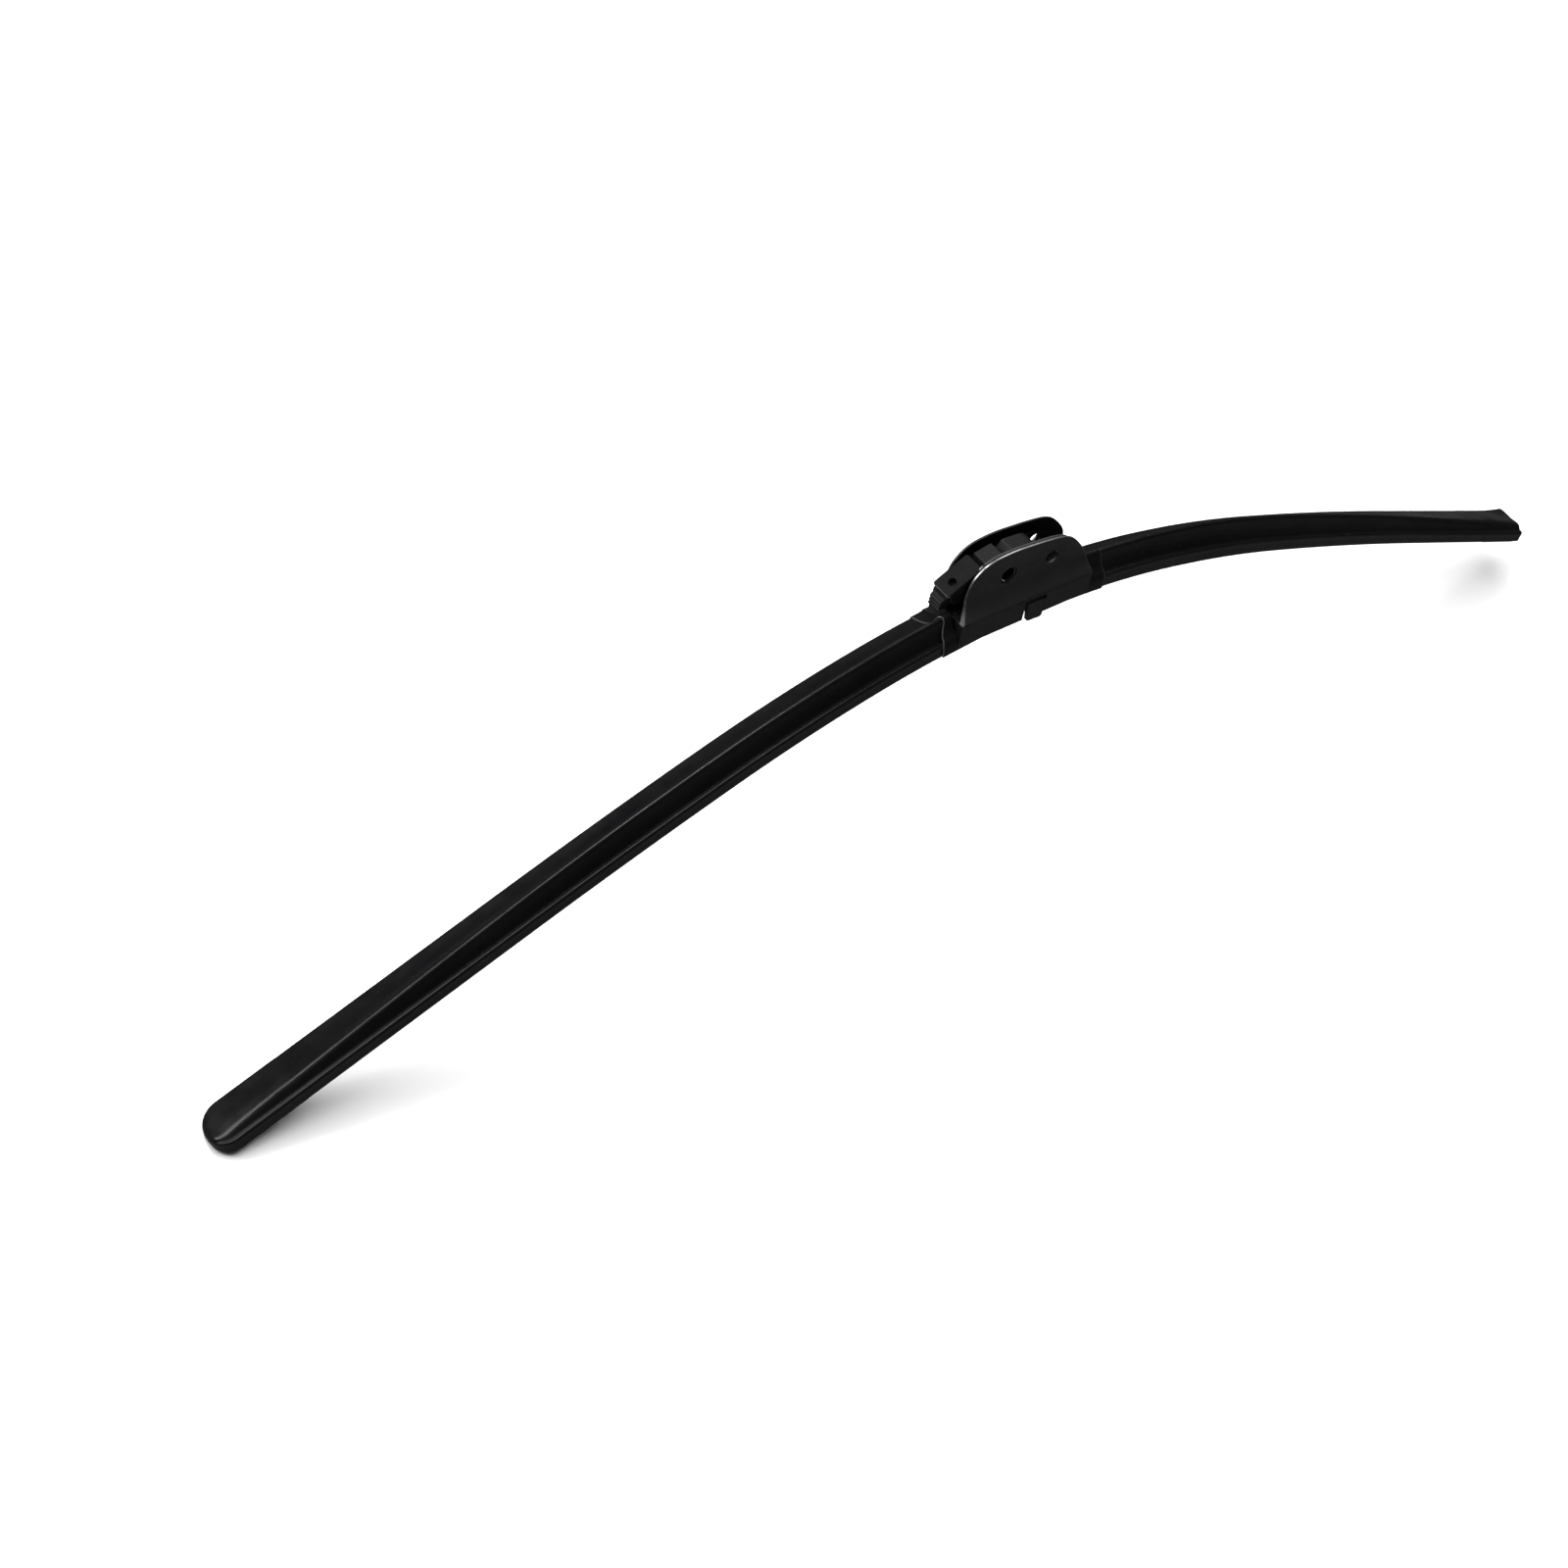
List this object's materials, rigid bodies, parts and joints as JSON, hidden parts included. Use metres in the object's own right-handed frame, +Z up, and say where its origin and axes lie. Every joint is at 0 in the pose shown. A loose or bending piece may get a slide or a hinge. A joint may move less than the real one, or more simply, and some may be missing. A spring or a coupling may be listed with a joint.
{
  "type": "frameless windshield wiper blade",
  "caption": "Curved beam windshield wiper blade with an offset spoiler, rubber lip, end caps and a riveted connector with a pivoting arm adapter and release button.",
  "frame": {"origin": "on the axis of the arm pivot bore, midway between the bracket walls", "axes": "+X along the blade towards its shorter end, +Y across the blade towards the low rear edge of the spoiler, +Z up, away from the glass"},
  "size_m": [0.5653, 0.0206, 0.1245],
  "materials": {
    "rubber": "soft wiping rubber with a graphite sheen",
    "spoiler_rubber": "satin extruded rubber",
    "cap_plastic": "fine matte moulding",
    "base_plastic": "fine textured moulding",
    "bracket_metal": "black powder coat on pressed steel",
    "adapter_plastic": "satin moulding",
    "spring_steel": "dark phosphated spring steel",
    "clip_steel": "plain pressed steel",
    "bright_steel": "bright turned steel"
  },
  "bodies": {
    "blade": {"wiper_rubber": "rubber", "front_rail": "spring_steel", "rear_rail": "spring_steel", "spoiler_left": "spoiler_rubber", "spoiler_right": "spoiler_rubber", "end_cap_left": "cap_plastic", "end_cap_right": "cap_plastic", "rail_clip_left": "clip_steel", "rail_clip_right": "clip_steel", "connector_base": "base_plastic", "collar_left": "base_plastic", "collar_right": "base_plastic", "bracket": "bracket_metal", "rail_clamp_left": "clip_steel", "rail_clamp_right": "clip_steel", "rivet_left": "clip_steel", "rivet_right": "clip_steel", "pivot_tube": "bright_steel", "latch_pin_near": "bright_steel", "latch_pin_far": "bright_steel"},
    "adapter": {"adapter": "adapter_plastic", "pivot_washer": "bright_steel", "button_spring": "bright_steel"},
    "button": {"release_button": "adapter_plastic"},
    "near_latch": {"latch_near": "base_plastic"},
    "far_latch": {"latch_far": "base_plastic"}
  },
  "joints": [
    {"name": "adapter_pivot", "type": "hinge", "parent": "blade", "child": "adapter", "pos_m": [0, 0, 0], "axis": [0, 1, 0], "range_deg": [0, 14]},
    {"name": "button_slide", "type": "slide", "parent": "adapter", "child": "button", "axis": [1, 0, 0], "range_m": [0, 0.002], "stiffness_N_per_m": 400, "deforming": ["button_spring"]},
    {"name": "near_latch_hinge", "type": "hinge", "parent": "blade", "child": "near_latch", "pos_m": [0.0102, -0.0095, -0.0123], "axis": [1, 0, 0], "range_deg": [0, 10], "stiffness_Nm_per_rad": 0.02},
    {"name": "far_latch_hinge", "type": "hinge", "parent": "blade", "child": "far_latch", "pos_m": [0.0102, 0.0073, -0.0123], "axis": [-1, 0, 0], "range_deg": [0, 10], "stiffness_Nm_per_rad": 0.02}
  ]
}
